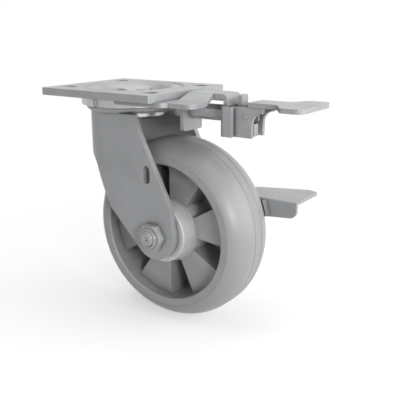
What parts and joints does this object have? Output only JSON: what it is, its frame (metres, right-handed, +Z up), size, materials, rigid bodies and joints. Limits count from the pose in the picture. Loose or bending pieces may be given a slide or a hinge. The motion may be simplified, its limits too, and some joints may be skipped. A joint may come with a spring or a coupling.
{
  "type": "swivel castor with swivel lock and wheel brake",
  "caption": "Heavy swivel castor with slotted top plate, pressed fork, cast wheel with moulded tread, trailing foot lever that locks the swivel and trailing foot pedal that brakes the wheel",
  "frame": {"origin": "middle of the top plate's upper face, on the swivel axis", "axes": "+Z is up, out of the mounting face; +X is the trailing side with both foot levers; the wheel turns about a line along Y at x 47.6 mm and z -114.3 mm"},
  "size_m": [0.2256, 0.1219, 0.1905],
  "materials": {
    "zinc_sheet": "bright zinc plated pressed steel",
    "zinc_hardware": "bright zinc plated fasteners",
    "hard_steel": "machined steel",
    "cage_plastic": "moulded",
    "cast_aluminium": "as cast, turned rim",
    "tread_urethane": "smooth moulded polyurethane",
    "brake_lining": "matt moulded lining"
  },
  "bodies": {
    "mounting_head": {"top_plate": "zinc_sheet", "kingpin": "zinc_hardware", "kingpin_nut": "zinc_hardware", "lower_race": "hard_steel", "lower_balls": "hard_steel", "lock_bracket": "zinc_sheet", "bracket_rivets": "zinc_hardware", "lock_guide": "zinc_hardware", "lock_housing": "zinc_sheet", "pivot_clevis": "zinc_sheet", "lock_pivot_pin": "zinc_hardware"},
    "lock_lever": {"lock_pedal": "zinc_sheet", "lock_cross_pin": "zinc_hardware"},
    "latch": {"latch_bolt": "hard_steel", "latch_rod": "hard_steel", "latch_link": "hard_steel"},
    "yoke": {"fork": "zinc_sheet", "swivel_disc": "hard_steel", "main_balls": "hard_steel", "axle_bolt": "zinc_hardware", "axle_nut": "zinc_hardware", "axle_washers": "zinc_hardware", "axle_sleeve": "hard_steel", "hub_washers": "hard_steel", "brake_bracket": "zinc_sheet", "brake_bolt": "zinc_hardware", "brake_nut": "zinc_hardware", "brake_pivot": "zinc_hardware", "brake_washer": "zinc_hardware"},
    "wheel": {"wheel_core": "cast_aluminium", "tread": "tread_urethane", "bearing_rollers": "hard_steel", "roller_cage": "cage_plastic"},
    "brake_lever": {"brake_pedal": "zinc_sheet", "brake_arm": "zinc_sheet", "brake_shoe": "brake_lining"}
  },
  "joints": [
    {"name": "swivel", "type": "hinge", "parent": "mounting_head", "child": "yoke", "pos_m": [0, 0, 0], "axis": [0, 0, 1], "continuous": true},
    {"name": "wheel_spin", "type": "hinge", "parent": "yoke", "child": "wheel", "pos_m": [0.0476, 0, -0.1143], "axis": [0, 1, 0], "continuous": true},
    {"name": "brake_pedal_tilt", "type": "hinge", "parent": "yoke", "child": "brake_lever", "pos_m": [0.0765, 0.0326, -0.098], "axis": [0, 1, 0], "range_deg": [0, 8]},
    {"name": "lock_pedal_tilt", "type": "hinge", "parent": "mounting_head", "child": "lock_lever", "pos_m": [0.115, 0, -0.0157], "axis": [0, 1, 0], "range_deg": [0, 22]},
    {"name": "latch_slide", "type": "slide", "parent": "mounting_head", "child": "latch", "axis": [-1, 0, 0], "range_m": [0, 0.0047]}
  ],
  "couplings": [
    {"joint": "latch_slide", "follows": "lock_pedal_tilt", "m_per_rad": 0.0119}
  ]
}
